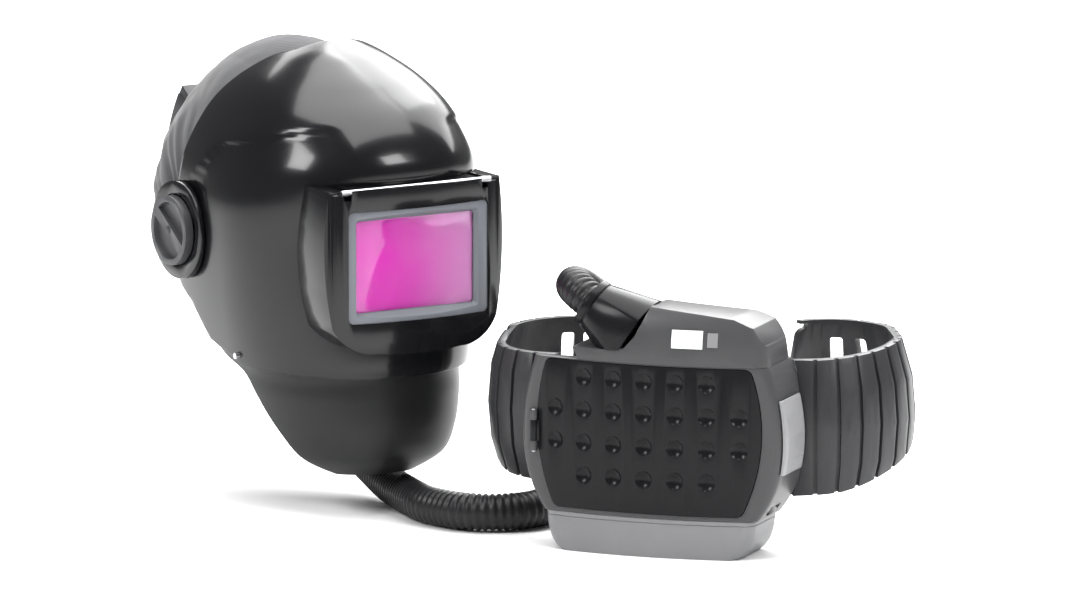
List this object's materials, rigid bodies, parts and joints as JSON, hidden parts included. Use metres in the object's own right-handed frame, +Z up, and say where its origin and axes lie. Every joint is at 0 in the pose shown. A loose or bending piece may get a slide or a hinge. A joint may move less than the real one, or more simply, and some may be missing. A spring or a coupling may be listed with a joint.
{
  "type": "powered air respirator",
  "caption": "Welding helmet with a flip-up auto-darkening visor, neck guard and head cover, joined by a breathing hose to a belt-worn air blower.",
  "frame": {"origin": "centre of the flat base of the blower's battery, on the surface the object lies on", "axes": "+Z up, -Y out of the blower's filter cover, +X along the blower's width away from the helmet"},
  "size_m": [0.6965, 0.3333, 0.3804],
  "materials": {
    "helmet_gloss": "glossy",
    "guard_satin": "satin",
    "visor_gloss": "glossy",
    "bezel_grey": "satin",
    "lens_magenta": "glossy",
    "clear_plate": "glossy",
    "cassette_black": "matte",
    "cover_fabric": "woven",
    "knob_grey": "satin",
    "headgear_black": "satin",
    "pad_foam": "soft",
    "housing_grey": "satin",
    "cover_black": "satin",
    "battery_grey": "satin",
    "latch_grey": "satin",
    "catch_black": "satin",
    "hose_rubber": "satin",
    "belt_grey": "satin",
    "filter_white": "pleated",
    "metal": "brushed",
    "fan_plastic": "satin",
    "board_green": "satin",
    "display_white": "glossy",
    "button_grey": "matte"
  },
  "bodies": {
    "harness": {"air_duct": "headgear_black", "belt_left": "belt_grey", "belt_right": "belt_grey", "breathing_hose": "hose_rubber", "comfort_pad": "pad_foam", "control_board": "board_green", "cover_hinge_pin": "metal", "crown_strap_front": "headgear_black", "crown_strap_rear": "headgear_black", "display_window": "display_white", "fan_motor": "metal", "fan_scroll": "fan_plastic", "front_housing": "housing_grey", "head_cover": "cover_fabric", "headband": "headgear_black", "housing_screws": "metal", "outlet_cuff": "cover_black", "particle_filter": "filter_white", "pivot_arm_left": "headgear_black", "pivot_arm_right": "headgear_black", "prefilter": "filter_white", "ratchet_housing": "headgear_black", "rear_housing": "housing_grey", "spark_arrestor": "metal", "top_hood": "housing_grey"},
    "helmet": {"helmet_shell": "helmet_gloss", "neck_guard": "guard_satin", "guard_rivets": "metal", "grinding_visor": "clear_plate", "pivot_boss_right": "helmet_gloss", "pivot_boss_left": "helmet_gloss", "visor_hinge_pin": "metal"},
    "visor": {"visor_frame": "visor_gloss", "lens_bezel": "bezel_grey", "filter_cassette": "cassette_black", "darkening_filter": "lens_magenta", "outer_cover_plate": "clear_plate", "cassette_clips": "cassette_black"},
    "knob_right": {"tilt_knob_right": "knob_grey"},
    "knob_left": {"tilt_knob_left": "knob_grey"},
    "ratchet": {"ratchet_knob": "knob_grey"},
    "cover": {"filter_cover": "cover_black"},
    "latch": {"cover_latch": "latch_grey"},
    "battery": {"battery_case": "battery_grey", "battery_lid": "battery_grey", "battery_cells": "metal"},
    "battery_catch": {"battery_latch": "catch_black"},
    "button": {"power_button": "button_grey"},
    "fan": {"impeller": "fan_plastic"}
  },
  "joints": [
    {"name": "helmet_tilt", "type": "hinge", "parent": "harness", "child": "helmet", "pos_m": [-0.374, 0.1718, 0.2236], "axis": [-0.6293, -0.7771, 0], "range_deg": [0, 60]},
    {"name": "visor_flip", "type": "hinge", "parent": "helmet", "child": "visor", "pos_m": [-0.22775, 0.05337, 0.27715], "axis": [-0.6293, -0.7771, 0], "range_deg": [0, 80]},
    {"name": "right_knob_turn", "type": "hinge", "parent": "harness", "child": "knob_right", "pos_m": [-0.44975, 0.07826, 0.2236], "axis": [-0.6293, -0.7771, 0], "range_deg": [-180, 180]},
    {"name": "left_knob_turn", "type": "hinge", "parent": "harness", "child": "knob_left", "pos_m": [-0.29825, 0.26534, 0.2236], "axis": [0.6293, 0.7771, 0], "range_deg": [-180, 180]},
    {"name": "ratchet_turn", "type": "hinge", "parent": "harness", "child": "ratchet", "pos_m": [-0.46912, 0.24883, 0.25828], "axis": [-0.7771, 0.6293, 0], "continuous": true},
    {"name": "cover_swing", "type": "hinge", "parent": "harness", "child": "cover", "pos_m": [-0.0985, -0.0215, 0.0965], "axis": [0, 0, -1], "range_deg": [0, 100]},
    {"name": "cover_latch_press", "type": "slide", "parent": "harness", "child": "latch", "axis": [-1, 0, 0], "range_m": [0, 0.001], "stiffness_N_per_m": 2000},
    {"name": "battery_slide", "type": "slide", "parent": "harness", "child": "battery", "axis": [0, 0, -1], "range_m": [0, 0.06]},
    {"name": "battery_latch_press", "type": "slide", "parent": "harness", "child": "battery_catch", "axis": [-1, 0, 0], "range_m": [0, 0.002], "stiffness_N_per_m": 1500},
    {"name": "power_button_press", "type": "slide", "parent": "harness", "child": "button", "axis": [0, 1, 0], "range_m": [0, 0.001], "stiffness_N_per_m": 1500},
    {"name": "impeller_spin", "type": "hinge", "parent": "harness", "child": "fan", "pos_m": [0.014, 0.01, 0.096], "axis": [0, 1, 0], "continuous": true}
  ]
}
